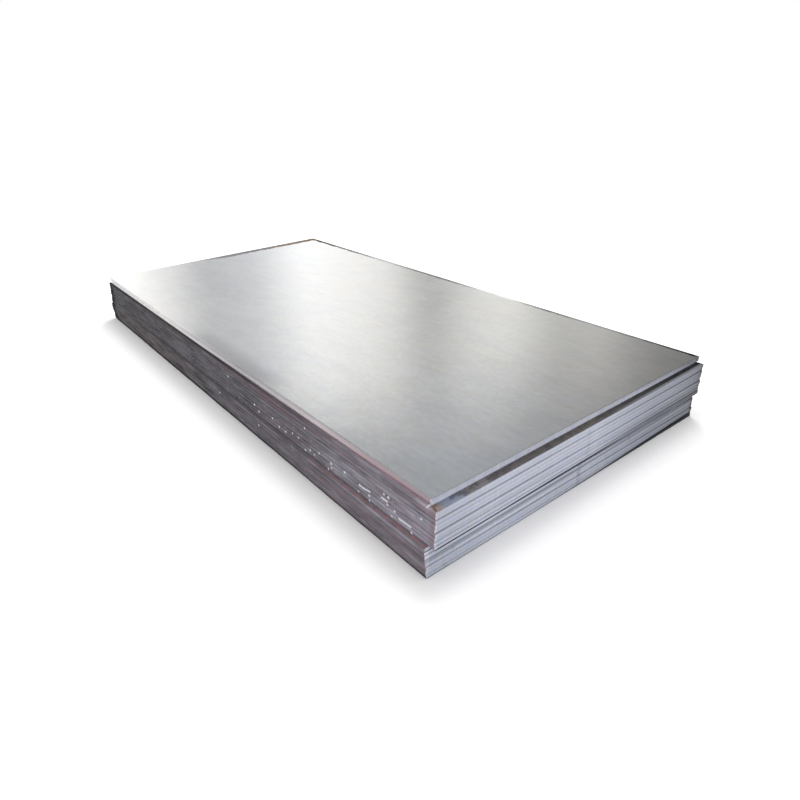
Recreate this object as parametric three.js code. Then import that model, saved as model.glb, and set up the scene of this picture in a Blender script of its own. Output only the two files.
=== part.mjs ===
// Stack of plain steel plates, laid flat in two packs under one loose plate on top.
// Units are millimetres. +X runs along the plates' length, +Y across their width, +Z up.
// The origin is at the middle of the stack's footprint, on the floor it rests on.
import * as THREE from 'three';

// One plate, as rolled and sheared; the loose one on top is of a heavier gauge
const PLATE_LENGTH = 2500;
const PLATE_WIDTH = 1250;
const PLATE_THICKNESS = 11.7;
const TOP_PLATE_THICKNESS = 17;

// The rolling mill leaves the long edges rounded; the shear leaves only a small roll-over at the ends
const LONG_EDGE_RADIUS = 3.6;
const SHEAR_ROLLOVER = 0.7;
const ARC_STEPS = 5;
const ROLLOVER_STEPS = 2;

// Scale and slight waviness keep neighbouring plates this far apart
const LAY_GAP = 0.8;

// How many plates each pack holds
const UPPER_PACK_COUNT = 9;
const LOWER_PACK_COUNT = 7;

// How the packs lie against the top plate: shift of the lowest plate's middle along X and Y, turn seen
// from above, and how far each plate sits along Y from the one below it
const TOP_PLATE_PLACE = { x: 0, y: 0, turnDeg: 0 };
const UPPER_PACK_PLACE = { x: 24, y: -16.8, turnDeg: 0.1, lean: 0.6 };
const LOWER_PACK_PLACE = { x: 15.5, y: -22.5, turnDeg: -0.3, lean: -1 };

// Plates of one pack slip against each other by up to this much, lengthways and sideways
const SLIP_ALONG = 1.1;
const SLIP_ACROSS = 1.0;

const STEEL_TOP = { color: 0x9fa3a8, metalness: 0.85, roughness: 0.35 };
const STEEL_PACK = { color: 0x8f8d97, metalness: 0.8, roughness: 0.5 };

// Section across the plate, drawn as width by thickness, with its four long arrises rounded
function plateSection(thickness) {
  const halfWidth = PLATE_WIDTH / 2;
  const radius = Math.min(LONG_EDGE_RADIUS, thickness * 0.4);
  const right = halfWidth - radius;
  const top = thickness - radius;
  const section = new THREE.Shape();
  section.moveTo(-right, 0);
  section.lineTo(right, 0);
  section.absarc(right, radius, radius, -Math.PI / 2, 0, false);
  section.lineTo(halfWidth, top);
  section.absarc(right, top, radius, 0, Math.PI / 2, false);
  section.lineTo(-right, thickness);
  section.absarc(-right, top, radius, Math.PI / 2, Math.PI, false);
  section.lineTo(-halfWidth, radius);
  section.absarc(-right, radius, radius, Math.PI, Math.PI * 1.5, false);
  return section;
}

// One plate with its middle over the origin and its underside at z = 0
function plateGeometry(thickness) {
  const rollover = Math.min(SHEAR_ROLLOVER, thickness * 0.2, LONG_EDGE_RADIUS * 0.6);
  const geometry = new THREE.ExtrudeGeometry(plateSection(thickness), {
    depth: PLATE_LENGTH - 2 * rollover,
    steps: 1,
    curveSegments: ARC_STEPS,
    bevelEnabled: true,
    bevelThickness: rollover,
    bevelSize: rollover,
    bevelOffset: -rollover,
    bevelSegments: ROLLOVER_STEPS,
  });
  // The extrusion runs along the shape's z: turn it so that it runs along X, with the thickness up
  geometry.translate(0, 0, -(PLATE_LENGTH - 2 * rollover) / 2);
  geometry.applyMatrix4(new THREE.Matrix4().set(
    0, 0, 1, 0,
    1, 0, 0, 0,
    0, 1, 0, 0,
    0, 0, 0, 1,
  ));
  return geometry;
}

// The small slip of plate number n of a pack, different from plate to plate but always the same for one n
function slipOf(n) {
  return {
    along: SLIP_ALONG * Math.sin(2.4 * n + 0.7),
    across: SLIP_ACROSS * Math.sin(1.7 * n + 2.1),
  };
}

// Turns a plate's geometry to its pack's place and lays it at its level of the stack
function layPlate(stack, name, geometry, level, place, finish) {
  geometry.rotateZ(THREE.MathUtils.degToRad(place.turnDeg));
  geometry.translate(place.x, place.y, level * (PLATE_THICKNESS + LAY_GAP));
  const plate = new THREE.Mesh(geometry, new THREE.MeshStandardMaterial(finish));
  plate.name = name;
  stack.add(plate);
}

// Plates numbered from the lowest one up, each with its slip and the pack's lean
function layPack(stack, packName, count, firstLevel, place) {
  for (let n = 1; n <= count; n += 1) {
    const level = firstLevel + n - 1;
    const slip = slipOf(level + 1);
    const geometry = plateGeometry(PLATE_THICKNESS);
    geometry.translate(slip.along, slip.across + place.lean * (n - 1), 0);
    const name = `${packName}_plate_${String(n).padStart(2, '0')}`;
    layPlate(stack, name, geometry, level, place, STEEL_PACK);
  }
}

const stack = new THREE.Group();
stack.name = 'steel_plate_stack';

layPack(stack, 'lower_pack', LOWER_PACK_COUNT, 0, LOWER_PACK_PLACE);
layPack(stack, 'upper_pack', UPPER_PACK_COUNT, LOWER_PACK_COUNT, UPPER_PACK_PLACE);
const topLevel = LOWER_PACK_COUNT + UPPER_PACK_COUNT;
layPlate(stack, 'top_plate', plateGeometry(TOP_PLATE_THICKNESS), topLevel, TOP_PLATE_PLACE, STEEL_TOP);

// Bring the middle of the footprint to the origin
const box = new THREE.Box3().setFromObject(stack);
const middle = box.getCenter(new THREE.Vector3());
for (const plate of stack.children) {
  plate.geometry.translate(-middle.x, -middle.y, -box.min.z);
}

export default stack;
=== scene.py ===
import math
from functools import reduce

import bmesh
import bpy
import numpy as np
from mathutils import Matrix, Vector


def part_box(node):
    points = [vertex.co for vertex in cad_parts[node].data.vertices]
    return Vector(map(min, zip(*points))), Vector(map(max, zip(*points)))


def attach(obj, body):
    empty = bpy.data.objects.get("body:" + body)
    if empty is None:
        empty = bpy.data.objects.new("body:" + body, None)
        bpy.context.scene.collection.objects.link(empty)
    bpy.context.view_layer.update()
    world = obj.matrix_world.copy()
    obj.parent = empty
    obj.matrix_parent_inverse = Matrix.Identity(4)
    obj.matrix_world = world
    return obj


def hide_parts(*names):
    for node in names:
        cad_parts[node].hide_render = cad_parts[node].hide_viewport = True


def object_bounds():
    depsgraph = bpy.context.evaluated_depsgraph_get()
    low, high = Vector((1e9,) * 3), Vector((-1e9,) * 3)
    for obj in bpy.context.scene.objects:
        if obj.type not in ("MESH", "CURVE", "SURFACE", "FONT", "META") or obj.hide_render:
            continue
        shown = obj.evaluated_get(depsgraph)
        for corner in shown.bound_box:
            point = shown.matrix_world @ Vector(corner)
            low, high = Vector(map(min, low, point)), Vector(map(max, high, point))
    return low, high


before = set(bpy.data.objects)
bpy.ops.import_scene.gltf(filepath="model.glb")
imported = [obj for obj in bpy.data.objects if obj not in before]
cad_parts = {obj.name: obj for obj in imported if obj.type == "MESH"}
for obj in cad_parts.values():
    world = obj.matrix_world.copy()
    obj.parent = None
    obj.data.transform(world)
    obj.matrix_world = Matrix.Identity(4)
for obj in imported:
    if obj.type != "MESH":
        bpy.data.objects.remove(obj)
cad_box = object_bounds()

# ------ sizes, in metres, as in part.mjs
PLATE_LENGTH = 2.5
PLATE_WIDTH = 1.25
PLATE_THICKNESS = 0.0117
TOP_PLATE_THICKNESS = 0.017
LAY_GAP = 0.0008
LONG_EDGE_RADIUS = 0.0036
UPPER_PACK_COUNT = 9
LOWER_PACK_COUNT = 7
# Shift along X and Y of a pack's lowest plate, turn in degrees, and each plate's lean from the one below
TOP_PLATE_PLACE = (0, 0, 0, 0)
UPPER_PACK_PLACE = (0.024, -0.0168, 0.1, 0.0006)
LOWER_PACK_PLACE = (0.0155, -0.0225, -0.3, -0.001)
SLIP_ALONG = 0.0011
SLIP_ACROSS = 0.001

HALF_LENGTH = PLATE_LENGTH / 2
HALF_WIDTH = PLATE_WIDTH / 2
PITCH = PLATE_THICKNESS + LAY_GAP
PACKED_COUNT = UPPER_PACK_COUNT + LOWER_PACK_COUNT
LOWER_PACK_TOP = LOWER_PACK_COUNT * PITCH - LAY_GAP
TOP_UNDERSIDE = PACKED_COUNT * PITCH
HEIGHT = TOP_UNDERSIDE + TOP_PLATE_THICKNESS
LEDGE_LEVELS = (LOWER_PACK_COUNT - 1, PACKED_COUNT - 1)

# The top plate isn't turned: its box gives the shift that put the footprint's middle at the origin
low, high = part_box("top_plate")
SHIFT_X = (low[0] + high[0]) / 2
SHIFT_Y = (low[1] + high[1]) / 2
TOP_END_X = SHIFT_X + HALF_LENGTH
TOP_FAR_END_X = SHIFT_X - HALF_LENGTH
TOP_SIDE_Y = SHIFT_Y - HALF_WIDTH

# How plainly each joint of the sheared end shows at the near and at the far corner, 0 shut to 1 open.
# A joint's number is that of the plates under it.
JOINTS = {0: (0, 0), 1: (0.3, 0.35), 2: (0.4, 0.4), 3: (0.8, 0.45), 4: (0.25, 0.75),
          5: (0.6, 0.4), 6: (0.4, 0.35), 7: (1, 0.6), 8: (0.35, 0.7), 9: (0.75, 0.4),
          10: (0.3, 0.6), 11: (0.8, 0.4), 12: (0.45, 0.6), 13: (0.3, 0.25), 14: (0.8, 0.75),
          15: (0.25, 0.35), 16: (0.5, 0.5)}
# They change from near to far within this much of the end's middle
JOINT_CHANGE = 0.4
# Around the end's middle the joints show nearly alike
JOINT_MIDDLE = 0.55
JOINT_MIDDLE_SHARE = 0.7
JOINT_MIDDLE_HALF = 0.1
JOINT_MIDDLE_SOFT = 0.25

# Widest reach of the oxide strip on the top plate, along its far end and its far side, how much the latter
# changes to either side of its middle, and where across the far end the strip begins and is widest
FAR_END_RIM = 0.053
FAR_SIDE_RIM = 0.023
FAR_SIDE_TAPER = 0.006
FAR_END_RIM_FROM = -0.27
FAR_END_RIM_FULL = 0.03


def pack_of(level):
    """Name and place of the pack a plate lies in, and the plate's number in it."""
    if level < LOWER_PACK_COUNT:
        return "lower_pack", LOWER_PACK_PLACE, level + 1
    return "upper_pack", UPPER_PACK_PLACE, level - LOWER_PACK_COUNT + 1


def plate_list():
    """Name, level, place and number in its pack of each plate, bottom to top; the top plate's is 0."""
    rows = []
    for level in range(PACKED_COUNT):
        pack, place, number = pack_of(level)
        rows.append((f"{pack}_plate_{number:02d}", level, place, number))
    return rows + [("top_plate", PACKED_COUNT, TOP_PLATE_PLACE, 0)]


def slip_of(level, place, number):
    """Shift along X and Y of one plate against its pack: its own slip, and the pack's lean."""
    if not number:
        return 0, 0
    n = level + 1
    across = SLIP_ACROSS * math.sin(1.7 * n + 2.1) + place[3] * (number - 1)
    return SLIP_ALONG * math.sin(2.4 * n + 0.7), across


def side_line(level):
    """Y at which the near long side of a pack's plate crosses x = 0, and the side's slope."""
    _, place, number = pack_of(level)
    tilt = math.radians(place[2])
    across = slip_of(level, place, number)[1] - HALF_WIDTH
    start = SHIFT_Y + place[1] + across * math.cos(tilt) - (SHIFT_X + place[0]) * math.tan(tilt)
    return start, math.tan(tilt)


def add_object(name, data):
    """Put a mesh, a camera or a lamp in the scene."""
    made = bpy.data.objects.new(name, data)
    bpy.context.scene.collection.objects.link(made)
    return made


def plain_mesh(name, verts, faces, material):
    mesh = bpy.data.meshes.new(name)
    mesh.from_pydata(verts, [], faces)
    mesh.materials.append(material)
    mesh.update()
    return mesh


# ------ camera, fitted to the photograph
PICTURE_PIXELS = 800
FOCAL_PIXELS = 626.324
CENTRE_PIXELS = (389.162, 362.647)
SENSOR_WIDTH = 36
CAMERA_AZIMUTH = math.radians(52.101)
CAMERA_ELEVATION = math.radians(24.3)
CAMERA_ROLL = math.radians(-1.694)
CAMERA_DISTANCE = 1.7535 * PLATE_WIDTH
CAMERA_AIM = Vector((0.45649 * PLATE_WIDTH + SHIFT_X, -0.16871 * PLATE_WIDTH + SHIFT_Y, HEIGHT))


def set_camera():
    data = bpy.data.cameras.new("camera")
    data.sensor_width = SENSOR_WIDTH
    data.lens = FOCAL_PIXELS / PICTURE_PIXELS * SENSOR_WIDTH
    data.shift_x = (PICTURE_PIXELS / 2 - CENTRE_PIXELS[0]) / PICTURE_PIXELS
    data.shift_y = (CENTRE_PIXELS[1] - PICTURE_PIXELS / 2) / PICTURE_PIXELS
    camera = add_object("camera", data)
    turn = Matrix.Rotation(CAMERA_AZIMUTH, 4, "Z") @ Matrix.Rotation(math.pi / 2 - CAMERA_ELEVATION, 4, "X")
    turn = turn @ Matrix.Rotation(CAMERA_ROLL, 4, "Z")
    camera.matrix_world = Matrix.Translation(CAMERA_AIM) @ turn @ Matrix.Translation((0, 0, CAMERA_DISTANCE))
    bpy.context.scene.camera = camera


set_camera()


# ------ node helpers
class Nodes:
    """Short calls for building a node tree. A value is a number, a colour or another node's output."""

    def __init__(self, tree):
        self.tree = tree
        self.material = self.shader = self.colour = None
        tree.nodes.clear()

    def add(self, kind, inputs=None, **settings):
        node = self.tree.nodes.new(kind)
        for key, value in settings.items():
            setattr(node, key, value)
        self.fill(node, inputs or {})
        return node

    def fill(self, node, inputs):
        for key, value in inputs.items():
            self.put(node.inputs[key], value)

    def put(self, socket, value):
        if isinstance(value, bpy.types.NodeSocket):
            self.tree.links.new(value, socket)
        elif socket.type == "RGBA":
            socket.default_value = (*value, 1)
        else:
            socket.default_value = value

    def math(self, operation, a, b=0):
        return self.add("ShaderNodeMath", {0: a, 1: b}, operation=operation).outputs[0]

    def times(self, *values):
        return reduce(lambda a, b: self.math("MULTIPLY", a, b), values)

    def plus(self, *values):
        return reduce(lambda a, b: self.math("ADD", a, b), values)

    def minus(self, a, b):
        return self.math("SUBTRACT", a, b)

    def over(self, a, b):
        return self.math("DIVIDE", a, b)

    def apart(self, a, b):
        return self.math("ABSOLUTE", self.minus(a, b))

    def span(self, value, a, b, lo=0, hi=1, smooth=True):
        """lo up to a, hi from b on, and a soft step or a straight line between them."""
        kind = "SMOOTHSTEP" if smooth else "LINEAR"
        inputs = {0: value, 1: a, 2: b, 3: lo, 4: hi}
        return self.add("ShaderNodeMapRange", inputs, interpolation_type=kind).outputs[0]

    def fall(self, value, lo):
        """1 where the value is 0, down to lo where it is 1."""
        return self.span(value, 0, 1, 1, lo)

    def band(self, value, centre, half, soft):
        """1 within half of centre, fading to 0 over soft."""
        outer = self.plus(half, soft) if isinstance(half, bpy.types.NodeSocket) else half + soft
        return self.span(self.apart(value, centre), outer, half)

    def mix(self, share, a, b, blend="MIX"):
        inputs = {"Factor": share, 6: a, 7: b}
        return self.add("ShaderNodeMix", inputs, data_type="RGBA", blend_type=blend).outputs[2]

    def lay(self, mask, coat):
        """Lay another colour over the one built so far, where mask says."""
        self.colour = self.mix(mask, self.colour, coat)

    def tint(self, by, mask=1):
        """Multiply the colour built so far by another colour or a number, where mask says."""
        self.colour = self.mix(mask, self.colour, by, "MULTIPLY")

    def noise(self, where, scale, detail, rough, shift=(0, 0, 0)):
        """Noise of one scale, or of one for each axis."""
        if isinstance(scale, tuple):
            inputs = {"Vector": where, "Scale": scale, "Location": shift}
            where = self.add("ShaderNodeMapping", inputs).outputs[0]
            scale = 1
        inputs = {"Vector": where, "Scale": scale, "Detail": detail, "Roughness": rough}
        return self.add("ShaderNodeTexNoise", inputs).outputs[0]

    def ramp(self, value, stops):
        """A ramp of colours or numbers whose stops stand at real values of the input."""
        first, last = stops[0][0], stops[-1][0]
        node = self.add("ShaderNodeValToRGB", {0: self.span(value, first, last, smooth=False)})
        elements = node.color_ramp.elements
        while len(elements) < len(stops):
            elements.new(0.5)
        for element, (at, colour) in zip(elements, stops):
            element.position = (at - first) / (last - first)
            element.color = (*colour, 1) if isinstance(colour, tuple) else (colour, colour, colour, 1)
        return node.outputs[0]

    def hues(self, noise, reach, low, high):
        """Tints to either side of neutral, low and high where the noise is reach away from its middle."""
        return self.ramp(noise, [(0.5 - reach, low), (0.5, 1), (0.5 + reach, high)])

    def vector(self, x, y):
        return self.add("ShaderNodeCombineXYZ", {0: x, 1: y, 2: 0}).outputs[0]

    def parts(self, vector):
        return self.add("ShaderNodeSeparateXYZ", {0: vector}).outputs

    def dress(self, roughness, relief, depth, metallic=0, specular=0.5):
        """Give the shader its surface, with the colour built so far, and hand back its material."""
        bump = self.add("ShaderNodeBump", {"Height": relief, "Distance": depth, "Strength": 1})
        self.fill(self.shader, {"Base Color": self.colour, "Roughness": roughness, "Metallic": metallic,
                                "Specular IOR Level": specular, "Normal": bump.outputs[0]})
        return self.material


def new_tree(holder):
    """The emptied node tree of a material or a world."""
    holder.use_nodes = True
    return Nodes(holder.node_tree)


def new_material(name):
    """A material with a Principled shader, and the object coordinates, whole and apart."""
    material = bpy.data.materials.new(name)
    n = new_tree(material)
    n.material = material
    n.shader = n.add("ShaderNodeBsdfPrincipled")
    n.add("ShaderNodeOutputMaterial", {0: n.shader.outputs[0]})
    where = n.add("ShaderNodeTexCoord").outputs["Object"]
    return n, where, n.parts(where)


# ------ materials
# Throughout, x, y and z are in metres, place is y from the top plate's middle line, and noise scales are
# per metre. Colour stops were set by measuring renders against the photograph.


def top_face_material():
    """Smooth mill surface of the top plate: cloudy, softly reflective grey steel."""
    n, where, (x, y, z) = new_material("top_face")
    cloud = n.noise(where, 6, 4, 0.55)
    mottle = n.noise(where, (9, 20, 1), 4, 0.6)
    drawn = n.noise(where, (6, 60, 1), 4, 0.6)
    grain = n.noise(where, (45, 80, 1), 2, 0.6)
    warmth = n.noise(where, (5, 9, 1), 3, 0.55, (3.1, 1.7, 0))
    hue = n.noise(where, (22, 40, 1), 3, 0.6, (0.4, 2.9, 0))
    n.colour = n.mix(n.span(cloud, 0.35, 0.65), (0.628, 0.628, 0.612), (0.655, 0.654, 0.637))
    n.tint((1.012, 1, 0.982), n.span(warmth, 0.36, 0.64))
    n.tint(n.hues(hue, 0.16, (1.006, 1, 0.974), (0.994, 1, 1.024)))
    light = n.plus(n.span(mottle, 0.3, 0.7, 0.978, 1.022), n.span(drawn, 0.3, 0.7, -0.01, 0.01))
    n.tint(n.plus(light, n.span(grain, 0.3, 0.7, -0.024, 0.024)))
    # Darker along the near long side
    near_side_darker = n.times(n.span(y, TOP_SIDE_Y + 0.1, TOP_SIDE_Y + 0.012), n.band(x, 0.14, 0.18, 0.25))
    n.tint((0.68, 0.672, 0.685), n.times(near_side_darker, 0.9))
    rough = n.plus(n.span(cloud, 0.3, 0.7, 0.185, 0.215), n.span(drawn, 0.3, 0.7, 0, 0.03))
    wave = n.plus(n.times(n.noise(where, 2.2, 2, 0.4), 0.35), n.times(n.noise(where, 14, 2, 0.5), 0.04))
    return n.dress(rough, wave, 0.004, metallic=0.95)


def joint_shade(n, y, z):
    """Shade on a sheared end: 1 in the middle of an open joint, 0 away from the joints."""
    step = n.over(n.plus(z, LAY_GAP / 2), PITCH)
    number = n.math("MINIMUM", n.math("ROUND", step), PACKED_COUNT)
    away = n.times(n.apart(step, number), PITCH)
    near, far = (n.ramp(number, [(k, ends[i]) for k, ends in JOINTS.items()]) for i in (0, 1))
    strength = n.mix(n.span(y, SHIFT_Y - JOINT_CHANGE, SHIFT_Y + JOINT_CHANGE), near, far)
    middle = n.times(n.band(y, SHIFT_Y, JOINT_MIDDLE_HALF, JOINT_MIDDLE_SOFT), n.span(z, 0.004, 0.01))
    strength = n.mix(n.times(middle, JOINT_MIDDLE_SHARE), strength, (JOINT_MIDDLE,) * 3)
    return n.times(strength, n.span(away, 0.0054, 0.0016))


def end_metal(n, where, y, z, marks):
    """The sheared end's own colour: upright shear marks, soft clouds, and plates that differ a little."""
    cloud = n.noise(where, (4, 5, 18), 3, 0.5)
    level = n.math("FLOOR", n.over(z, PITCH))
    plate = n.noise(n.vector(n.times(y, 2.5), n.times(level, 3.71)), 1, 2, 0.5)
    hue = n.noise(where, (1, 45, 90), 2, 0.6)
    n.colour = n.mix(n.span(marks, 0.3, 0.7), (0.575, 0.607, 0.712), (0.657, 0.691, 0.797))
    n.lay(n.span(cloud, 0.4, 0.7, 0, 0.25), (0.498, 0.528, 0.62))
    n.lay(n.span(plate, 0.4, 0.7, 0, 0.3), (0.673, 0.706, 0.8))
    n.tint(n.hues(hue, 0.15, (1.03, 1, 0.955), (0.97, 1, 1.045)))


def end_streaks(n, place, z, lower):
    """Light of a pale streak and a dull one that climb slowly across the lower pack's end."""
    climb = n.plus(place, 0.45)
    pale = n.band(n.minus(z, n.times(climb, 0.019)), 0.0405, 0.0015, 0.004)
    pale = n.times(pale, lower, n.span(place, -0.35, -0.1, 0.2, 0.1))
    dull_half = n.span(place, -0.15, 0.1, 0.004, 0.0015)
    dull = n.band(n.minus(z, n.times(climb, 0.012)), 0.058, dull_half, 0.005)
    return n.plus(1, pale), n.fall(n.times(dull, lower), 0.6)


def top_end_light(n, x, place, z, on_top):
    """The top plate's end catches more light lower down, most of all on the near end's far half."""
    plain = 1.75
    lowest = n.ramp(place, [(-0.1, plain), (0.05, 1.8), (0.25, 2.5), (0.6, 2.7)])
    lowest = n.plus(plain, n.times(n.span(x, -0.5, 0.5), n.minus(lowest, plain)))
    light = n.span(z, TOP_UNDERSIDE, HEIGHT, lowest, 1.05)
    light = n.times(light, n.span(place, 0.44, 0.56, 1, 0.86))
    return n.plus(n.times(on_top, n.minus(light, 1)), 1)


def end_light(n, place, z, upper, lower):
    """Darker towards the far corner, partly from oxidised steel and partly a painted falloff of light, more
    so on the lower pack.
    """
    oxide_and_falloff = n.ramp(place, [
        (-0.62, 0.89), (-0.45, 1), (-0.1, 0.97), (0, 0.98), (0.15, 0.8), (0.3, 0.635), (0.45, 0.53),
        (0.56, 0.39), (0.62, 0.22)])
    packs = n.span(upper, 0, 1, n.span(place, -0.3, -0.1, 1.03, 0.96), 1)
    # Painted shade on the upper pack's lowest plates towards the far corner
    foot = n.times(n.span(z, LOWER_PACK_TOP + 3.2 * PITCH, LOWER_PACK_TOP + 0.8 * PITCH), upper)
    foot = n.fall(n.times(foot, n.span(place, -0.2, 0.42)), 0.62)
    dim = n.fall(n.band(z, 0.12, 0.004, 0.006), 0.9)
    return n.times(oxide_and_falloff, packs, foot, dim, *end_streaks(n, place, z, lower))


def end_smudges(n, where, place, z, upper, lower, packed):
    """Smudges rubbed across plates: place, half width, soft border, and the heights they reach."""
    smudges = [(-0.034, 0.003, 0.012, n.times(upper, packed, 0.6)),
               (-0.054, 0.003, 0.012, lower),
               (0.2, 0.003, 0.012, n.band(z, 0.062, 0.014, 0.006)),
               (-0.566, 0.002, 0.007, n.band(z, 0.049, 0.003, 0.005)),
               (-0.592, 0.002, 0.007, n.band(z, 0.01, 0.004, 0.006))]
    total = n.plus(*(n.times(n.band(place, at, half, soft), reach) for at, half, soft, reach in smudges))
    return n.times(total, n.span(n.noise(where, 60, 3, 0.6), 0.3, 0.6))


def end_corners(n, place, z, upper, lower, on_top, joints):
    """The end's two upright edges: dark and rusty at the far corner, with a painted highlight at the near
    one.
    """
    corner = n.times(n.span(place, HALF_WIDTH - 0.05, HALF_WIDTH - 0.044), lower)
    n.lay(n.times(corner, 0.8), (0.07, 0.05, 0.065))
    tip = n.times(n.span(place, HALF_WIDTH - 0.007, HALF_WIDTH - 0.003), on_top)
    n.lay(n.times(tip, 0.9), (0.02, 0.02, 0.022))
    edge = n.times(n.span(place, HALF_WIDTH - 0.029, HALF_WIDTH - 0.023), upper)
    n.lay(n.times(edge, 0.7), (0.09, 0.085, 0.1))
    # Painted highlight on the plates' tips at the near corner
    rubbed = n.times(n.span(place, -0.628, -0.636), upper, 0.9)
    low_tip = n.times(n.span(place, -0.641, -0.65), lower)
    low_tip = n.times(low_tip, n.span(z, LOWER_PACK_TOP - 0.03, LOWER_PACK_TOP - 0.024, 0.4, 1.05))
    rubbed = n.times(n.plus(rubbed, low_tip), n.span(joints, 0.2, 0.6, 1, 0.2))
    n.lay(n.times(rubbed, 0.62), (0.84, 0.83, 0.9))


def sheared_end_material():
    """Bright sheared steel with soft joints and smudges, darker towards the far corner: partly oxidised,
    partly a painted falloff of light.
    """
    n, where, (x, y, z) = new_material("sheared_end")
    marks = n.noise(where, (8, 160, 12), 4, 0.65)
    place = n.minus(y, SHIFT_Y)
    upper = n.span(z, LOWER_PACK_TOP, LOWER_PACK_TOP + 0.004)
    lower = n.minus(1, upper)
    on_top = n.span(z, TOP_UNDERSIDE - 0.001, TOP_UNDERSIDE)
    packed = n.minus(1, on_top)
    joints = joint_shade(n, y, z)
    shaded = n.span(joints, 0, 1, 1, 0.71, smooth=False)
    end_metal(n, where, y, z, marks)
    n.tint(n.times(end_light(n, place, z, upper, lower), shaded, top_end_light(n, x, place, z, on_top)))
    smudge = end_smudges(n, where, place, z, upper, lower, packed)
    n.lay(n.times(smudge, 0.38), (0.2, 0.21, 0.26))
    # A painted shadow under the upper pack's overhang: a black line at the boundary between the packs,
    # fading past the middle
    line_half = n.span(place, -0.45, -0.15, 0.0022, 0.0042)
    line = n.band(z, LOWER_PACK_TOP + LAY_GAP + 0.0006, line_half, 0.003)
    n.lay(n.times(line, n.span(place, 0.02, 0.2, 0.97, 0.55)), (0.01, 0.01, 0.015))
    end_corners(n, place, z, upper, lower, on_top, joints)
    # Painted shadow along the bottom, growing towards the far corner
    reach = n.ramp(place, [
        (-0.62, 0.0042), (-0.3, 0.0036), (0.05, 0.0066), (0.2, 0.0105), (0.3, 0.0135), (0.6, 0.0215)])
    bottom_shadow = n.span(n.minus(z, reach), 0.0025, -0.0035)
    n.lay(n.times(bottom_shadow, n.span(place, -0.2, 0.1, 0.68, 0.98)), (0.01, 0.009, 0.014))
    return n.dress(n.span(marks, 0.2, 0.8, 0.42, 0.58), marks, 0.0003, metallic=0.25, specular=0.15)


def side_metal(n, x, low_pack):
    """The mill edge's colour: darkest at the far end, paler and more lilac at the near corner, the
    brightening partly its scale and partly painted light.
    """
    n.colour = n.ramp(x, [
        (-1.28, (0.08, 0.079, 0.085)), (-0.8, (0.088, 0.084, 0.091)), (-0.4, (0.096, 0.09, 0.098)),
        (-0.1, (0.111, 0.105, 0.116)), (0.3, (0.142, 0.133, 0.149)), (0.7, (0.188, 0.178, 0.2)),
        (1, (0.262, 0.246, 0.282)), (1.25, (0.306, 0.288, 0.334))])
    n.lay(n.times(low_pack, n.span(x, 0.4, 1.1, 0, 0.8)), (0.186, 0.164, 0.185))


def side_light(n, x, low_pack, shade, fine, blotch):
    """Fine lines, blotches and plates of their own shade, stronger on the lower pack's far half."""
    lines = n.times(n.span(fine, 0.35, 0.65, -0.09, 0.09), n.span(x, -0.8, 0.2, 0.3, 1))
    light = n.plus(n.span(shade, 0.32, 0.68, 0.84, 1.16), lines)
    light = n.plus(light, n.span(blotch, 0.35, 0.65, -0.13, 0.13))
    stronger = n.span(n.times(low_pack, n.span(x, 0.2, -0.1)), 0, 1, 1, 1.7)
    return n.plus(1, n.times(n.minus(light, 1), stronger))


def side_dim(n, x, z):
    """Dimmer places: the upper pack's foot and the lower pack's last decimetre at the far end, and a
    stretch along the lower pack's upper plates."""
    dim = n.times(n.span(x, -0.5, -1, 0, 0.1), n.span(z, 0.16, 0.145), n.span(z, 0.084, 0.094))
    dim = n.plus(dim, n.times(n.span(x, -1.03, -1.16, 0, 0.24), n.band(z, 0.045, 0.012, 0.01)))
    return n.plus(dim, n.times(n.band(x, 0.56, 0.36, 0.2), n.band(z, 0.069, 0.008, 0.006), 0.18))


def side_rust(n, x, z, low_pack, blotch):
    """Rusty mauve bands under the top plate and along one joint of the lower pack, and brown blotches."""
    along = n.times(n.span(x, -0.1, 0.4), n.span(x, 0.6, 1.1, 1, 0.45))
    rusty = n.times(n.band(z, 14.6 * PITCH, 0.008, 0.01), along)
    rusty = n.plus(rusty, n.times(n.band(z, 4.3 * PITCH, 0.003, 0.006), n.span(x, 0.1, 0.5)))
    rusty = n.times(rusty, n.span(blotch, 0.3, 0.6, 0.3, 1))
    n.lay(n.times(rusty, 0.55), (0.15, 0.088, 0.102))
    brown = n.times(low_pack, n.span(x, 0.1, -0.5), n.span(blotch, 0.35, 0.6))
    n.lay(n.times(brown, 0.6), (0.122, 0.102, 0.092))


def side_ends(n, x, z):
    """Worn to a paler pinkish brown just before the sheared end, dark at the far end, and the plate under
    the top one black along its upper arris, less so towards the near corner."""
    worn = n.times(n.span(x, TOP_END_X - 0.002, TOP_END_X + 0.014), n.span(z, 0.088, 0.1))
    n.lay(n.times(worn, 0.6), (0.3, 0.215, 0.225))
    n.lay(n.span(x, -1.172, -1.2, 0, 0.92), (0.016, 0.015, 0.018))
    under = n.span(z, TOP_UNDERSIDE - 0.01, TOP_UNDERSIDE - 0.005)
    n.lay(n.times(under, n.span(x, 0.1, 1.1, 0.82, 0.1)), (0.02, 0.018, 0.019))


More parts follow.
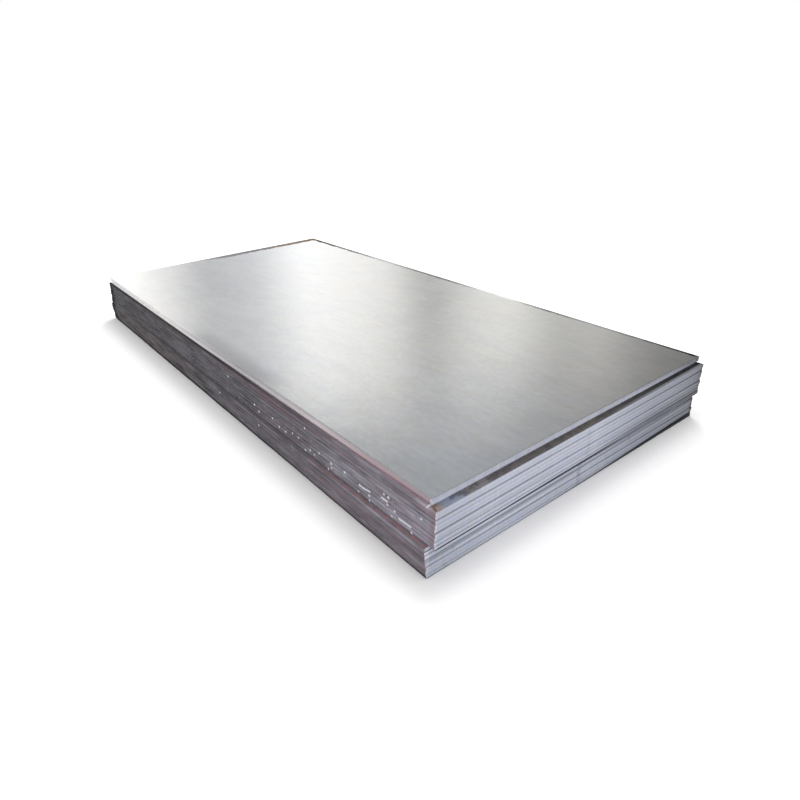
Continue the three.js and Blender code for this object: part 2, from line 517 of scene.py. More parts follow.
def mill_edge_material():
    """Dark mill edge of the long sides: mauve-grey, each plate with its own rusty tints."""
    n, where, (x, y, z) = new_material("mill_edge")
    step = n.over(n.plus(z, LAY_GAP / 2), PITCH)
    along = n.vector(n.times(x, 3), n.times(n.math("FLOOR", step), 7.31))
    rust = n.noise(along, 1, 3, 0.55)
    shade = n.noise(along, (2.2, 1, 1), 3, 0.6, (3.7, 0, 0))
    fine = n.noise(where, (30, 30, 420), 3, 0.6)
    blotch = n.noise(where, (9, 9, 40), 4, 0.6)
    low_pack = n.span(z, LOWER_PACK_TOP + 0.006, LOWER_PACK_TOP - 0.006)
    side_metal(n, x, low_pack)
    n.tint(side_light(n, x, low_pack, shade, fine, blotch))
    # Grains of scale a few millimetres across, greenish grey or mauve
    grain = n.noise(where, (95, 95, 130), 2, 0.6)
    n.tint(n.hues(grain, 0.18, (0.86, 1, 0.92), (1.16, 1, 1.1)))
    n.lay(n.times(n.span(rust, 0.48, 0.66, 0, 0.4), n.span(x, -0.2, 0.8)), (0.15, 0.098, 0.11))
    n.tint(n.minus(1, side_dim(n, x, z)))
    side_rust(n, x, z, low_pack, blotch)
    # Painted shade: arrises that look up are darker than the flats, against the light they catch from above
    upward = n.parts(n.add("ShaderNodeNewGeometry").outputs["Normal"])[2]
    n.tint((0.4, 0.4, 0.4), n.span(upward, 0.15, 0.85, 0, 0.42))
    # Painted light keeps the crevices between the plates from going black
    away = n.times(n.apart(step, n.math("ROUND", step)), PITCH)
    crevice_light = n.times(n.span(away, 0.0048, 0.0012), n.span(shade, 0.36, 0.62, 0.55, 1))
    n.tint(n.plus(1, n.times(crevice_light, n.span(x, -0.6, 0.4, 1.35, 0.8))))
    side_ends(n, x, z)
    # Painted contact shadow along the floor
    reach = n.plus(n.span(x, -1, 1.2, 0.0145, 0.0088), n.span(blotch, 0.35, 0.65, -0.0012, 0.0012))
    bottom_shadow = n.span(n.minus(z, reach), 0.004, -0.0045)
    n.lay(n.times(bottom_shadow, 0.92), (0.018, 0.016, 0.018))
    return n.dress(n.span(fine, 0.2, 0.8, 0.5, 0.66), fine, 0.0004, specular=0.05)


def slit_edge_material():
    """The top plate's near long edge: near white at the far end, a painted reflection, and flushed pink
    towards the near corner.
    """
    n, where, (x, y, z) = new_material("slit_edge")
    streak = n.noise(where, (12, 12, 300), 3, 0.6)
    # Near white at the far end: a painted reflection
    n.colour = n.ramp(x, [
        (-1.26, 1), (-0.5, (0.99, 0.98, 0.955)), (-0.14, (0.6, 0.58, 0.6)), (0.24, (0.43, 0.42, 0.43)),
        (0.49, (0.56, 0.53, 0.545)), (0.74, (0.68, 0.62, 0.635)), (0.99, (0.52, 0.41, 0.435)),
        (1.25, (0.47, 0.355, 0.395))])
    n.lay(n.times(n.span(streak, 0.4, 0.75, 0, 0.15), n.span(x, -0.5, 0.3)), (0.4, 0.34, 0.35))
    # From the middle on it is brighter lower down: painted light that makes up for the ledge's shade
    low_down = n.span(z, TOP_UNDERSIDE + 0.012, TOP_UNDERSIDE + 0.001)
    glow = n.ramp(x, [(-0.6, 0), (-0.14, 0.45), (0.24, 0.75), (0.5, 0.6), (0.75, 0.4), (1.05, 0.2)])
    n.tint(n.plus(1, n.times(low_down, glow)))
    # Painted shade darkens its upper arris a little; its lower one is browner at the near corner
    arris = n.times(n.span(z, HEIGHT - 0.006, HEIGHT - 0.001), n.span(x, -0.6, 0))
    n.tint((0.55, 0.56, 0.58), n.times(arris, 0.35))
    under = n.span(z, TOP_UNDERSIDE + 0.008, TOP_UNDERSIDE + 0.0035)
    n.lay(n.times(under, n.span(x, 0.95, 1.2, 0, 0.75)), (0.3, 0.225, 0.26))
    # The last millimetres at the corner are bright as the sheared end
    n.lay(n.span(x, TOP_END_X - 0.008, TOP_END_X - 0.005), (0.58, 0.58, 0.66))
    return n.dress(0.3, streak, 0.0002, specular=0.1)


def end_ledge(n, x, place, patch):
    """The ledge along the sheared end, from the near corner to the far one."""
    colour = n.ramp(place, [
        (-0.63, (0.36, 0.265, 0.215)), (-0.616, (0.3, 0.23, 0.2)), (-0.602, (0.24, 0.262, 0.315)),
        (-0.575, (0.24, 0.278, 0.37)), (-0.545, (0.228, 0.25, 0.31)), (-0.52, (0.205, 0.192, 0.205)),
        (-0.45, (0.195, 0.176, 0.185)), (-0.37, (0.14, 0.121, 0.127)), (-0.3, (0.116, 0.104, 0.104)),
        (-0.15, (0.12, 0.109, 0.1)), (0, (0.125, 0.113, 0.103)), (0.15, (0.08, 0.073, 0.066)),
        (0.38, (0.032, 0.031, 0.028)), (0.52, 0.014), (0.63, (0.007, 0.007, 0.008))])
    colour = n.mix(n.span(patch, 0.45, 0.58, 0, 0.55), colour, (0.045, 0.044, 0.051))
    # Its outer part is rubbed paler towards the far corner
    outer = n.times(n.span(x, TOP_END_X + 0.013, TOP_END_X + 0.018), n.span(place, -0.05, 0.4))
    return n.mix(n.times(outer, 0.85), colour, (0.205, 0.21, 0.235))


def clean_ledge(n, x, y):
    """Where the ledge under the top plate's long side is clean metal, with a painted reflection as bright as
    the face above it.
    """
    clean_to = n.ramp(x, [
        (-1.26, 0.005), (-0.85, 0.0055), (-0.3, 0.0055), (-0.1, 0.0058), (0.25, 0.004), (0.5, 0.0034),
        (0.75, 0.0016), (1.05, 0)])
    beyond = n.minus(n.minus(TOP_SIDE_Y, y), clean_to)
    return n.times(n.span(beyond, 0.0015, -0.0015), n.span(x, 1, 0.7))


def side_ledge(n, x, patch, clean):
    """The ledge under the top plate's long side: black at the far end, mauve at the near one, and where
    clean a painted reflection, near white at the far end.
    """
    colour = n.ramp(x, [
        (-1.3, (0.03, 0.028, 0.028)), (-0.5, (0.045, 0.04, 0.042)), (0.3, (0.085, 0.068, 0.074)),
        (0.65, (0.13, 0.098, 0.11)), (0.95, (0.33, 0.26, 0.3)), (1.26, (0.47, 0.38, 0.44))])
    colour = n.mix(n.span(patch, 0.45, 0.62, 0, 0.25), colour, (0.16, 0.12, 0.14))
    # Painted reflection on the clean part, as bright as the face above
    metal = n.ramp(x, [
        (-1.26, (0.99, 0.99, 0.98)), (-0.5, (0.97, 0.97, 0.95)), (-0.12, (0.88, 0.87, 0.87)),
        (0.25, (0.62, 0.61, 0.61)), (0.5, (0.57, 0.55, 0.56)), (0.75, (0.52, 0.47, 0.49)),
        (1, (0.4, 0.33, 0.36))])
    return n.mix(clean, colour, metal)


def low_ledge(n, where, x, y, patch):
    """The lower pack's ledge: as its side, with a broken line of red rust and a bright corner, partly
    scuffed and partly a painted highlight.
    """
    colour = n.ramp(x, [
        (-1.28, (0.15, 0.14, 0.14)), (-0.1, (0.165, 0.15, 0.157)), (0.5, (0.225, 0.2, 0.222)),
        (1.25, (0.29, 0.255, 0.29))])
    colour = n.mix(n.span(patch, 0.42, 0.6, 0, 0.55), colour, (0.15, 0.135, 0.14))
    start, slope = side_line(LOWER_PACK_COUNT)
    out = n.minus(n.plus(n.times(x, slope), start), y)
    red = n.band(n.minus(out, n.span(x, 0.85, 1.25, 0.009, 0.0045)), 0, 0.0014, 0.0028)
    broken = n.noise(where, (70, 160, 1), 3, 0.6)
    red = n.times(red, n.span(broken, 0.39, 0.54), n.span(x, 0.6, 0.92))
    colour = n.mix(n.times(red, 0.85), colour, (0.5, 0.2, 0.19))
    # The corner at the end is bright: partly scuffed, partly a painted highlight
    return n.mix(n.span(x, TOP_END_X - 0.001, TOP_END_X + 0.005, 0, 0.95), colour, (0.84, 0.83, 0.88))


def ledge_material():
    """Top of a plate where it shows beside the one above: scale, rust and grease, and a painted reflection
    where it is clean.
    """
    n, where, (x, y, z) = new_material("scaled_ledge")
    patch = n.noise(where, 34, 4, 0.62)
    speck = n.noise(where, 160, 3, 0.6)
    clean = clean_ledge(n, x, y)
    on_end = n.span(x, TOP_END_X - 0.003, TOP_END_X + 0.001)
    is_low = n.span(z, LOWER_PACK_TOP + PITCH + 0.001, LOWER_PACK_TOP + PITCH)
    n.colour = side_ledge(n, x, patch, clean)
    n.lay(on_end, end_ledge(n, x, n.minus(y, SHIFT_Y), patch))
    n.lay(is_low, low_ledge(n, where, x, y, patch))
    n.lay(n.span(speck, 0.55, 0.75, 0, 0.2), (0.28, 0.26, 0.26))
    smooth = n.times(clean, n.minus(1, on_end), n.minus(1, is_low))
    pits = n.times(n.plus(patch, n.times(speck, 0.2)), n.minus(1, smooth))
    return n.dress(n.span(smooth, 0, 1, 0.65, 0.4), pits, 0.0008, specular=0.2)


def far_rim_material():
    """Oxide strip along the top plate's two far edges, dark or pale in places."""
    n, where, (x, y, z) = new_material("far_rim")
    patch = n.noise(where, (6, 6, 1), 4, 0.6)
    side = n.ramp(x, [
        (-1.27, (0.08, 0.07, 0.05)), (-1.2, (0.08, 0.072, 0.055)), (-1.05, (0.1, 0.095, 0.08)),
        (-0.9, (0.225, 0.215, 0.215)), (-0.75, 0.26), (-0.6, (0.42, 0.42, 0.41)),
        (-0.45, (0.5, 0.5, 0.49)), (-0.3, 0.27), (-0.15, 0.185), (0, (0.185, 0.185, 0.18)),
        (0.12, (0.4, 0.4, 0.38)), (0.24, (0.75, 0.75, 0.72)), (0.38, (0.75, 0.75, 0.72)),
        (0.48, (0.38, 0.38, 0.36)), (0.6, (0.155, 0.155, 0.15)), (0.75, (0.3, 0.3, 0.29)),
        (0.9, (0.29, 0.29, 0.28)), (1.05, (0.092, 0.092, 0.09)), (1.2, (0.013, 0.013, 0.012))])
    end = n.ramp(y, [
        (-0.3, 0.8), (-0.2, (0.48, 0.46, 0.48)), (0, (0.26, 0.25, 0.27)), (0.28, (0.2, 0.19, 0.2)),
        (0.38, (0.24, 0.205, 0.175)), (0.6, (0.19, 0.145, 0.105))])
    n.colour = n.mix(n.span(x, TOP_FAR_END_X + 0.06, TOP_FAR_END_X + 0.045), side, end)
    n.lay(n.span(patch, 0.4, 0.7, 0, 0.15), (0.12, 0.11, 0.11))
    # Its inner border breaks up into the face's bare metal
    end_reach = n.times(n.span(y, SHIFT_Y + FAR_END_RIM_FROM, SHIFT_Y + FAR_END_RIM_FULL), FAR_END_RIM)
    end_share = n.over(n.minus(x, TOP_FAR_END_X), n.plus(end_reach, 0.001))
    side_reach = n.span(x, TOP_FAR_END_X, TOP_END_X, FAR_SIDE_RIM + FAR_SIDE_TAPER,
                        FAR_SIDE_RIM - FAR_SIDE_TAPER, smooth=False)
    side_share = n.over(n.minus(SHIFT_Y + HALF_WIDTH, y), side_reach)
    share = n.math("MINIMUM", end_share, side_share)
    worn = n.noise(where, (26, 26, 1), 4, 0.65)
    bare = n.span(n.plus(share, n.span(worn, 0.3, 0.7, -0.28, 0.28, smooth=False)), 0.84, 1)
    n.lay(bare, (0.642, 0.641, 0.625))
    scale = n.times(patch, n.minus(1, bare))
    rough = n.span(bare, 0, 1, 0.8, 0.21)
    return n.dress(rough, scale, 0.0005, metallic=n.times(bare, 0.95), specular=0.05)


MATERIALS = [top_face_material(), sheared_end_material(), mill_edge_material(), ledge_material(),
             slit_edge_material(), far_rim_material()]
TOP_FACE, SHEARED_END, MILL_EDGE, LEDGE, SLIT_EDGE, FAR_RIM = range(6)


# ------ plate mesh
# The outline's points are about 6 mm apart on the ends and 10 mm on the sides
END_COUNT = round(PLATE_WIDTH / 0.006)
SIDE_COUNT = round(PLATE_LENGTH / 0.01)
CORNER_RADIUS = 0.0015
CORNER_STEPS = 3
ARRIS_STEPS = 4
RIM_WIDTH = 0.016
TOP_GRID_INSET = 0.062
TOP_PLATE_ARRIS = 0.0018
TOP_PLATE_LOW_ARRIS = 0.0005
TOP_PLATE_ROLL = 0.0005
TOP_PLATE_BURR = 0.0006
# Roll-over of a sheared end's upper arris and hang of the burr at its lower one, by a shut or open joint
ROLL_SHUT, ROLL_OPEN = 0.00018, 0.0007
BURR_SHUT, BURR_OPEN = 0.0007, 0.00062
SHEARED_LOW_ARRIS = 0.0002
# How far a sheared end has leaned in at its foot, and where between the arrises its rings lie
SHEARED_TUCK = 0.00022
FLAT_SHARES = (0.28, 0.5, 0.75)
SEED = 100


def smooth_noise(rng, u, period, wavelength):
    """A wandering value between -1 and 1 along u, closed after period."""
    count = max(4, int(round(period / wavelength)))
    values = rng.uniform(-1, 1, count)
    t = (u / period * count) % count
    i = np.floor(t).astype(int) % count
    f = t - np.floor(t)
    f = f * f * (3 - 2 * f)
    return values[i] * (1 - f) + values[(i + 1) % count] * f


def ease(t):
    t = np.clip(t, 0, 1)
    return t * t * (3 - 2 * t)


def mix_sizes(a, b, share):
    return a + (b - a) * share


class Outline:
    """Points round a plate's outline: its four sides and the small arcs at its four corners."""

    def __init__(self):
        rows = []
        corners = ((1, 1), (-1, 1), (-1, -1), (1, -1))
        for turn, (is_side, sign) in enumerate(((0, 1), (1, 1), (0, -1), (1, -1))):
            start = math.radians(90) * turn
            for t in np.linspace(0, 1, (SIDE_COUNT if is_side else END_COUNT) + 1):
                rows.append((is_side, sign, t, math.cos(start), math.sin(start), 0, 0, is_side))
            for k in range(1, CORNER_STEPS):
                a = start + math.radians(90) * k / CORNER_STEPS
                share = k / CORNER_STEPS
                rows.append((2, sign, 0, math.cos(a), math.sin(a), *corners[turn],
                             1 - share if is_side else share))
        data = np.array(rows, float)
        self.kind, self.sign, self.t, _, _, self.sx, self.sy, self.sideness = data.T
        # Kind is 0 on an end, 1 on a long side and 2 on a corner's arc
        self.kind = self.kind.astype(int)
        self.out = data[:, 3:5]
        self.count = len(rows)
        self.base = self.ring(np.zeros(self.count))
        step = np.linalg.norm(np.roll(self.base, -1, 0) - self.base, axis=1)
        self.walked = np.concatenate([[0], np.cumsum(step)[:-1]])
        self.period = step.sum()
        # Softer mill edges, tighter sheared ends, with a short blend near the corners
        self.sideness = self.sideness * ease((HALF_LENGTH - np.abs(self.base[:, 0])) / 0.0012)
        self.is_side = self.sideness > 0.5
        self.is_far_side = (self.kind == 1) & (self.sign > 0)
        self.is_far_end = (self.kind == 0) & (self.sign < 0)

    def ring(self, inset):
        """The outline with each point at its own inset from the nominal edge."""
        cut = max(CORNER_RADIUS, float(np.max(inset)))
        end_x = self.sign * (HALF_LENGTH - inset)
        end_y = self.sign * (HALF_WIDTH - cut) * (2 * self.t - 1)
        side_x = self.sign * (HALF_LENGTH - cut) * (1 - 2 * self.t)
        side_y = self.sign * (HALF_WIDTH - inset)
        arc_x, arc_y = (self.out * (cut - inset)[:, None]).T
        x = np.choose(self.kind, (end_x, side_x, arc_x + self.sx * (HALF_LENGTH - cut)))
        y = np.choose(self.kind, (end_y, side_y, arc_y + self.sy * (HALF_WIDTH - cut)))
        return np.column_stack([x, y])

    def wave(self, rng, wavelength):
        return smooth_noise(rng, self.walked, self.period, wavelength)


OUTLINE = Outline()


def joint_along(number):
    """How open a joint of the sheared end is at each point of the outline."""
    near, far = JOINTS.get(number, (0, 0))
    across = OUTLINE.base[:, 1]
    strength = mix_sizes(near, far, ease((across + JOINT_CHANGE) / (2 * JOINT_CHANGE)))
    middle = ease((JOINT_MIDDLE_HALF + JOINT_MIDDLE_SOFT - np.abs(across)) / JOINT_MIDDLE_SOFT)
    return mix_sizes(strength, JOINT_MIDDLE, JOINT_MIDDLE_SHARE * middle)


def ring_kinds(level, is_top):
    """The material of a plate's edge and of its upper face's rim, at each outline point."""
    o = OUTLINE
    edge_kind = np.where(o.is_side, MILL_EDGE, SHEARED_END)
    if is_top:
        on_far_end = o.is_far_end & (o.base[:, 1] > FAR_END_RIM_FROM)
        far_rim = o.is_far_side | on_far_end | ((o.kind == 2) & (o.sy > 0))
        near_side = (o.kind == 1) & (o.sign < 0)
        return np.where(near_side, SLIT_EDGE, edge_kind), np.where(far_rim, FAR_RIM, TOP_FACE)
    if level in LEDGE_LEVELS:
        return edge_kind, np.full(o.count, LEDGE)
    return edge_kind, edge_kind


def top_strip(rng, rim_kind):
    """Width of the strip round the top plate's face that may carry oxide, at each outline point."""
    o = OUTLINE
    growth = ease((o.base[:, 1] - FAR_END_RIM_FROM) / (FAR_END_RIM_FULL - FAR_END_RIM_FROM))
    strip = np.where(o.is_far_end, FAR_END_RIM * growth, RIM_WIDTH)
    on_side = FAR_SIDE_RIM - FAR_SIDE_TAPER * o.base[:, 0] / HALF_LENGTH
    strip = np.where(o.is_far_side, on_side, strip)
    turned = mix_sizes(FAR_SIDE_RIM + FAR_SIDE_TAPER, FAR_END_RIM, o.out[:, 0] ** 2)
    strip = np.where((o.kind == 2) & (o.sx < 0) & (o.sy > 0), turned, strip)
    return np.maximum(strip + 0.0025 * o.wave(rng, 0.06) * (rim_kind == FAR_RIM), 0.008)


def plate_rings(rng, level, thickness, is_top):
    """Rings from the top face over the edge to the underside, and the material between them."""
    o = OUTLINE
    one = np.ones(o.count)
    on_end = 1 - o.sideness
    roll = TOP_PLATE_ROLL * one if is_top else mix_sizes(ROLL_SHUT, ROLL_OPEN, joint_along(level + 1))
    round_side = TOP_PLATE_ARRIS if is_top else LONG_EDGE_RADIUS
    radius_top = mix_sizes(roll, round_side, o.sideness) * (1 + 0.25 * o.wave(rng, 0.09))
    low_side = TOP_PLATE_LOW_ARRIS if is_top else LONG_EDGE_RADIUS
    radius_low = mix_sizes(SHEARED_LOW_ARRIS, low_side, o.sideness) * (1 + 0.35 * o.wave(rng, 0.07))
    # The edge wanders inwards a little, with a few nicks, and never beyond the plate's nominal size
    wander = 0.00025 * (o.wave(rng, 0.35) - 1)
    wander += 0.00012 * (o.wave(rng, 0.04) - 1)
    wander -= 0.0006 * np.clip(o.wave(rng, 0.02) - 0.86, 0, 1) / 0.14
    # A burr hangs from the sheared end's lower arris into the joint below
    hang = mix_sizes(BURR_SHUT, BURR_OPEN, joint_along(level)) if level > 0 else 0
    burr = on_end * hang * (0.75 + 0.25 * o.wave(rng, 0.03))
    if is_top:
        burr = TOP_PLATE_BURR * one
    burr = burr * np.where(o.kind == 2, 0, 1)
    edge_kind, rim_kind = ring_kinds(level, is_top)

    rings, kinds = [], []

    def add(inset, z, wandering, kind):
        points = o.ring(inset * one) + o.out * (wander * wandering)[:, None]
        rings.append(np.column_stack([points, z * one]))
        kinds.append(kind * np.ones(o.count, int))

    if is_top:
        add(TOP_GRID_INSET, thickness, 0, TOP_FACE)
    add(top_strip(rng, rim_kind) if is_top else RIM_WIDTH, thickness, 0, rim_kind)
    add(radius_top + 0.004, thickness, 0.7, rim_kind)
    for k in range(ARRIS_STEPS + 1):
        a = math.radians(90) * k / ARRIS_STEPS
        kind = rim_kind if is_top and k < ARRIS_STEPS / 2 else edge_kind
        add(radius_top * (1 - math.sin(a)), thickness - radius_top * (1 - math.cos(a)), 1, kind)
    # A sheared end leans in below its burnished band; a mill edge is a little hollow between its arrises
    upper = thickness - radius_top
    for share in FLAT_SHARES:
        lean = on_end * share * (0.0002 + 0.0001 * o.wave(rng, 0.03))
        hollow = o.sideness * 0.0001 * (1 + o.wave(rng, 0.05)) * math.sin(math.pi * share)
        add(np.clip(lean + hollow, 0, None), upper + (radius_low - upper) * share, 1, edge_kind)
    for k in range(ARRIS_STEPS + 1):
        a = math.radians(90) * k / ARRIS_STEPS
        drop = burr * ease(k / ARRIS_STEPS * 1.5)
        inset = on_end * SHEARED_TUCK + radius_low * (1 - math.cos(a))
        add(inset, radius_low * (1 - math.sin(a)) - drop, 1, edge_kind)
    add(radius_low + 0.0006, -burr * 0.9, 1, edge_kind)
    add(radius_low + 0.0012, 0, 1, LEDGE)
    add(RIM_WIDTH, 0, 0, LEDGE)
    return rings, kinds


def top_grid(verts, thickness):
    """The vertices with a grid for the middle of the top plate's face added, and the grid's faces."""
    grid_x = np.linspace(HALF_LENGTH - TOP_GRID_INSET, TOP_GRID_INSET - HALF_LENGTH, SIDE_COUNT + 1)
    grid_y = np.linspace(TOP_GRID_INSET - HALF_WIDTH, HALF_WIDTH - TOP_GRID_INSET, END_COUNT + 1)
    gx, gy = np.meshgrid(grid_x, grid_y, indexing="ij")
    points = np.column_stack([gx.ravel(), gy.ravel(), np.full(gx.size, thickness)])
    i, j = np.meshgrid(np.arange(SIDE_COUNT), np.arange(END_COUNT), indexing="ij")
    a = len(verts) + i * (END_COUNT + 1) + j
    quads = np.stack([a, a + 1, a + END_COUNT + 2, a + END_COUNT + 1], -1).reshape(-1, 4)
    return np.concatenate([verts, points]), quads.tolist()


def plate_mesh(name, level, place, slip, thickness, is_top):
    """One plate as a closed mesh: a finely divided rim round a plain or gridded middle."""
    rings, kinds = plate_rings(np.random.default_rng(SEED + level), level, thickness, is_top)
    count = OUTLINE.count
    verts = np.concatenate(rings)
    k = np.arange(count)
    after = (k + 1) % count
    faces, slots = [], []
    for r in range(len(rings) - 1):
        here, below = r * count, (r + 1) * count
        faces += np.stack([here + k, below + k, below + after, here + after], 1).tolist()
        slots += kinds[r].tolist()
    if is_top:
        verts, middle = top_grid(verts, thickness)
        faces += middle
        slots += [TOP_FACE] * len(middle)
    else:
        faces.append(list(range(count)))
        slots.append(LEDGE)
    last = (len(rings) - 1) * count
    faces.append(list(range(last + count - 1, last - 1, -1)))
    slots.append(LEDGE)

    turn = math.radians(place[2])
    x, y = verts[:, 0] + slip[0], verts[:, 1] + slip[1]
    verts[:, 0] = x * math.cos(turn) - y * math.sin(turn) + place[0] + SHIFT_X
    verts[:, 1] = x * math.sin(turn) + y * math.cos(turn) + place[1] + SHIFT_Y
    verts[:, 2] += level * PITCH
    mesh = bpy.data.meshes.new(name)
    mesh.from_pydata(verts.tolist(), [], faces)
    mesh.polygons.foreach_set("material_index", slots)
    for material in MATERIALS:
        mesh.materials.append(material)
    bm = bmesh.new()
    bm.from_mesh(mesh)
    bmesh.ops.remove_doubles(bm, verts=bm.verts, dist=1e-6)
    bmesh.ops.dissolve_degenerate(bm, edges=bm.edges, dist=1e-7)
    for face in bm.faces:
        face.smooth = True
    bm.to_mesh(mesh)
    bm.free()
    mesh.update()
    return mesh


for name, level, place, number in plate_list():
    is_top = name == "top_plate"
    thickness = TOP_PLATE_THICKNESS if is_top else PLATE_THICKNESS
    mesh = plate_mesh(name + "_mesh", level, place, slip_of(level, place, number), thickness, is_top)
    piece = add_object(name + "_dressed", mesh)
    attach(piece, "root")
    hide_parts(name)


# ------ flakes on the long side
# Where the larger pale flakes sit on the near long side: along X, and height
FLAKES = [
    (0.159, 0.158), (0.089, 0.071), (0.353, 0.121), (0.387, 0.108), (0.4, 0.064), (0.478, 0.12),
    (0.523, 0.109), (0.564, 0.109), (0.605, 0.12), (0.642, 0.122), (0.681, 0.175), (0.681, 0.097),
    (0.71, 0.111), (0.732, 0.1), (0.758, 0.123), (0.807, 0.09), (0.825, 0.102), (0.821, 0.113),
    (0.889, 0.125), (0.955, 0.093), (1.005, 0.107), (1.005, 0.091), (1.068, 0.149), (1.086, 0.145),
    (1.111, 0.116), (1.101, 0.096), (1.213, 0.152), (1.178, 0.088)]
# Longer scuffs: start and end along X, height at the start and at the end
SCUFFS = [(0.96, 1.005, 0.113, 0.119), (1.057, 1.082, 0.126, 0.125), (1.133, 1.174, 0.106, 0.107)]
SCUFF_CHIPS = 7
SCUFF_CHIP_SIZE = (0.005, 0.0028)
FLAKE_RADIUS = 0.0037
# A flake's rings: how far in from the side's surface each lies, and its share of the flake's size
FLAKE_RINGS = ((0.0012, 1.0), (-0.00025, 1.0), (-0.0005, 0.7))
SMALL_FLAKES = 150
SMALL_FROM_X = -0.3
SMALL_FROM_Z = LOWER_PACK_TOP + 0.006
SMALL_TO_Z = TOP_UNDERSIDE - 2 * PITCH
SMALL_SPREAD = 0.035


def flake_material(name, light, dark):
    n, where, _ = new_material(name)
    spot = n.noise(where, 300, 2, 0.5)
    n.colour = n.mix(n.span(spot, 0.35, 0.65), light, dark)
    return n.dress(0.6, spot, 0.0003)


def side_surface(x, z):
    """Y of the near long side at x, and the height moved onto the nearest plate's flat."""
    level = min(int(z // PITCH), PACKED_COUNT - 1)
    base = level * PITCH
    z = min(max(z, base + LONG_EDGE_RADIUS), base + PLATE_THICKNESS - LONG_EDGE_RADIUS)
    start, slope = side_line(level)
    return start + slope * x, z


def tube_faces(start, rings, sides):
    """Quads between successive rings of vertices, and a face to close each end."""
    faces = []
    for ring in range(rings - 1):
        for k in range(sides):
            a = start + ring * sides + k
            b = start + ring * sides + (k + 1) % sides
            faces.append((a, b, b + sides, a + sides))
    last = start + (rings - 1) * sides
    faces.append(tuple(range(last, last + sides)))
    faces.append(tuple(range(start + sides - 1, start - 1, -1)))
    return faces


def add_flake(verts, faces, rng, x, z, length, height):
    """A thin, domed, irregular chip of six to nine sides, a little proud of the plate's side."""
    y, z = side_surface(x, z)
    sides = int(rng.integers(6, 10))
    start = len(verts)
    turn = rng.uniform(0, 2 * math.pi)
    for depth, size in FLAKE_RINGS:
        for k in range(sides):
            a = turn + 2 * math.pi * k / sides
            reach = size * (1 + 0.35 * math.sin(3.7 * k + turn))
            verts.append((x + length * reach * math.cos(a), y + depth, z + height * reach * math.sin(a)))
    faces += tube_faces(start, len(FLAKE_RINGS), sides)


def make_flakes(name, places, material, seed):
    rng = np.random.default_rng(seed)
    verts, faces = [], []
    for x, z, length, height in places(rng):
        add_flake(verts, faces, rng, x, z, length, height)
    piece = add_object(name, plain_mesh(name, verts, faces, material))
    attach(piece, "root")


def large_places(rng):
    for x, z in FLAKES:
        size = FLAKE_RADIUS * rng.uniform(0.85, 1.25)
        yield x, z, size, size * 0.9
    for x0, x1, z0, z1 in SCUFFS:
        for share in np.linspace(0, 1, SCUFF_CHIPS):
            yield x0 + (x1 - x0) * share, z0 + (z1 - z0) * share, *SCUFF_CHIP_SIZE


def small_places(rng):
    for _ in range(SMALL_FLAKES):
        x = rng.uniform(SMALL_FROM_X, TOP_END_X)
        z = SMALL_FROM_Z + abs(rng.normal(0, SMALL_SPREAD))
        if z > SMALL_TO_Z:
            continue
        size = rng.uniform(0.001, 0.0022)
        yield x, z, size * rng.uniform(1.0, 3.0), size


PALE_FLAKE = flake_material("pale_flake", (0.92, 0.92, 0.95), (0.76, 0.76, 0.82))
DULL_FLAKE = flake_material("dull_flake", (0.34, 0.33, 0.38), (0.25, 0.24, 0.28))
make_flakes("pale_flakes", large_places, PALE_FLAKE, 7)
make_flakes("dull_flakes", small_places, DULL_FLAKE, 11)


# A bent sliver of steel across the ledge under the top plate's near corner: along X and Y from the corner,
# half width and thickness at each station
SLIVER = [
    (-0.0055, 0.0008, 0.0024, 0.0016), (-0.005, -0.005, 0.0026, 0.0026),
    (-0.004, -0.0105, 0.0022, 0.0024), (-0.0028, -0.0146, 0.0008, 0.001)]
SLIVER_UNDERSIDE = TOP_UNDERSIDE - LAY_GAP - 0.0001


def make_sliver():
    verts = []
    foot = SLIVER_UNDERSIDE
    for dx, dy, half, thick in SLIVER:
        x, y = TOP_END_X + dx, TOP_SIDE_Y + dy
        verts += [(x - half, y, foot), (x + half, y, foot),
                  (x + half * 0.7, y, foot + thick * 0.8), (x - half * 0.5, y, foot + thick)]
    faces = tube_faces(0, len(SLIVER), 4)
    piece = add_object("corner_sliver", plain_mesh("corner_sliver", verts, faces, PALE_FLAKE))
    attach(piece, "root")


make_sliver()


# ------ floor
FLOOR_HALF = 30.0


def floor_material():
    """White floor that takes the object's shadow. A little glow, for the eye and reflections only, keeps it
    white, and is weaker close to the object, a painted shadow around it."""
    material = bpy.data.materials.new("floor")
    n = new_tree(material)
    diffuse = n.add("ShaderNodeBsdfDiffuse", {"Color": (0.905, 0.9, 0.892)})
    path = n.add("ShaderNodeLightPath").outputs
    seen = n.math("MAXIMUM", path["Is Camera Ray"], path["Is Glossy Ray"])
    x, y, _ = n.parts(n.add("ShaderNodeTexCoord").outputs["Object"])
    beyond_x = n.math("MAXIMUM", n.minus(n.math("ABSOLUTE", x), cad_box[1][0]), 0)
    beyond_y = n.math("MAXIMUM", n.minus(n.math("ABSOLUTE", y), cad_box[1][1]), 0)
    away = n.add("ShaderNodeVectorMath", {0: n.vector(beyond_x, beyond_y)}, operation="LENGTH")
    # Painted shadow: the glow is weaker close to the object
    lift = n.ramp(away.outputs["Value"], [
        (0, 0.11), (0.015, 0.145), (0.03, 0.18), (0.05, 0.265), (0.07, 0.34), (0.09, 0.375),
        (0.12, 0.385), (1.5, 0.4)])
    glow = n.add("ShaderNodeEmission", {"Color": (1, 1, 1), "Strength": n.times(seen, lift)})
    both = n.add("ShaderNodeAddShader", {0: diffuse.outputs[0], 1: glow.outputs[0]})
    n.add("ShaderNodeOutputMaterial", {0: both.outputs[0]})
    return material


def make_floor():
    s = FLOOR_HALF
    verts = [(-s, -s, 0), (s, -s, 0), (s, s, 0), (-s, s, 0)]
    floor = add_object("floor", plain_mesh("floor", verts, [(0, 1, 2, 3)], floor_material()))


make_floor()
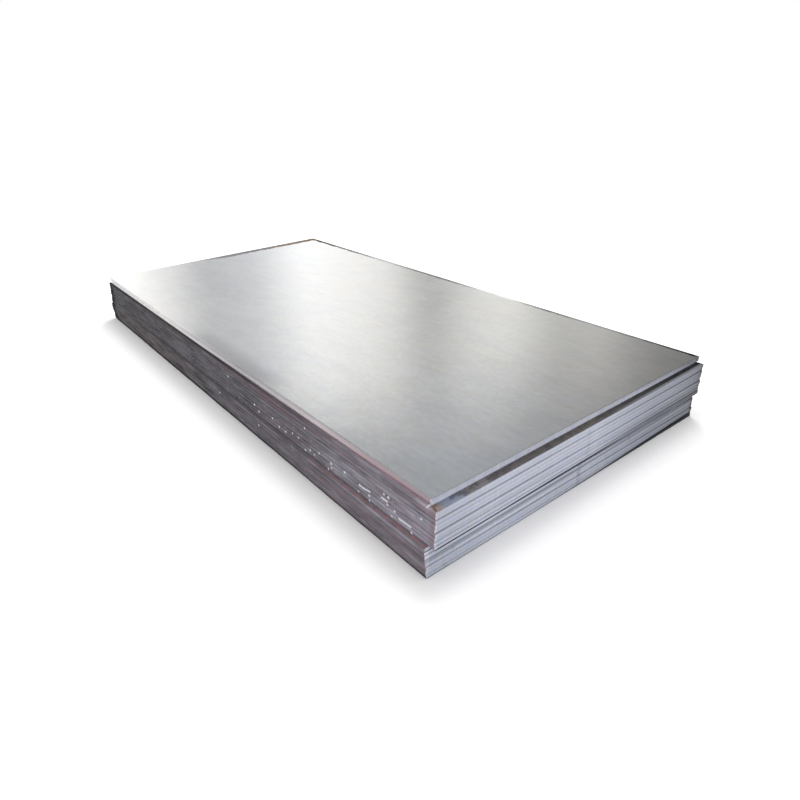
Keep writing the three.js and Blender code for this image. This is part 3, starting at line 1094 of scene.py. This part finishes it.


# ------ light
# What the plates mirror, by azimuth in degrees: the panels behind them, and the ceiling above the panels.
# First values rounded from a fit of this light to the photograph, then corrected against renders.
PANELS = [
    (92, (0.17, 0.17, 0.165)), (113, (0.17, 0.17, 0.165)), (118, (0.365, 0.36, 0.35)),
    (122, (0.81, 0.8, 0.778)), (126, (0.649, 0.64, 0.622)), (130, (1.228, 1.22, 1.196)), (134, 1.02),
    (138, (0.475, 0.478, 0.482)), (142, (1.185, 1.18, 1.18)), (146, (1.362, 1.36, 1.36)),
    (150, (1.521, 1.53, 1.573)), (154, (0.856, 0.88, 0.93)), (159, (0.6, 0.62, 0.659)),
    (162, (1.122, 1.12, 1.13)), (166, (1.657, 1.65, 1.663)), (172, (1.426, 1.42, 1.43))]
CEILING = [
    (92, (0.168, 0.168, 0.178)), (113, (0.168, 0.168, 0.178)), (118, (0.29, 0.29, 0.307)),
    (122, (0.37, 0.378, 0.408)), (127, (0.392, 0.415, 0.462)), (132, (0.395, 0.428, 0.498)),
    (135, (0.43, 0.463, 0.535)), (138, (0.43, 0.463, 0.53)), (142, (0.365, 0.397, 0.455)),
    (148, (0.262, 0.287, 0.331)), (153, (0.243, 0.262, 0.298)), (157, (0.265, 0.285, 0.322)),
    (163, (0.8, 0.81, 0.84)), (168, 1.15)]
# Light of one gap between the panels, by height in degrees
HAZE = [(14, 0.93), (18, 0.96), (21, 1.14), (29, 1.12), (34, 1)]
LAMP_PLACE = Vector((-2.5, 3, 4.5))
LAMP_TARGET = Vector((0.2, 0, 0.1))
LAMP_SIZE = 3
LAMP_POWER = 160


def make_world():
    """Even studio light. Plates mirror white panels with grey gaps behind them, and a dim ceiling."""
    world = bpy.data.worlds.new("studio")
    bpy.context.scene.world = world
    n = new_tree(world)
    path = n.add("ShaderNodeLightPath").outputs
    x, y, z = n.parts(n.add("ShaderNodeTexCoord").outputs["Generated"])
    azimuth = n.times(n.math("ARCTAN2", y, x), math.degrees(1))
    height = n.times(n.math("ARCSINE", z), math.degrees(1))
    haze = n.ramp(height, HAZE)
    # The panels' upper rim rises towards the left of the picture
    height = n.minus(height, n.span(azimuth, 124, 139, 0, 4.2))
    gloss = n.mix(n.span(height, 22, 29), n.ramp(azimuth, PANELS), n.ramp(azimuth, CEILING))
    gloss = n.mix(n.band(azimuth, 136.5, 1, 4.5), gloss, haze, "MULTIPLY")
    behind = n.span(n.plus(y, n.times(x, -0.6)), -0.25, 0.25)
    gloss = n.mix(behind, (0.72, 0.73, 0.76), gloss)
    colour = n.mix(path["Is Glossy Ray"], (0.8, 0.8, 0.81), gloss)
    colour = n.mix(path["Is Camera Ray"], colour, (1, 1, 1))
    back = n.add("ShaderNodeBackground", {"Color": colour, "Strength": 1})
    n.add("ShaderNodeOutputWorld", {0: back.outputs[0]})


def make_lamp():
    """A large soft lamp, high up behind the plates, that no plate mirrors."""
    data = bpy.data.lights.new("back_top", "AREA")
    data.size = LAMP_SIZE
    data.energy = LAMP_POWER
    lamp = add_object("back_top", data)
    lamp.location = LAMP_PLACE
    lamp.rotation_euler = (LAMP_TARGET - LAMP_PLACE).to_track_quat("-Z", "Y").to_euler()
    lamp.visible_glossy = False


make_world()
make_lamp()

bpy.context.scene.view_settings.view_transform = "Standard"
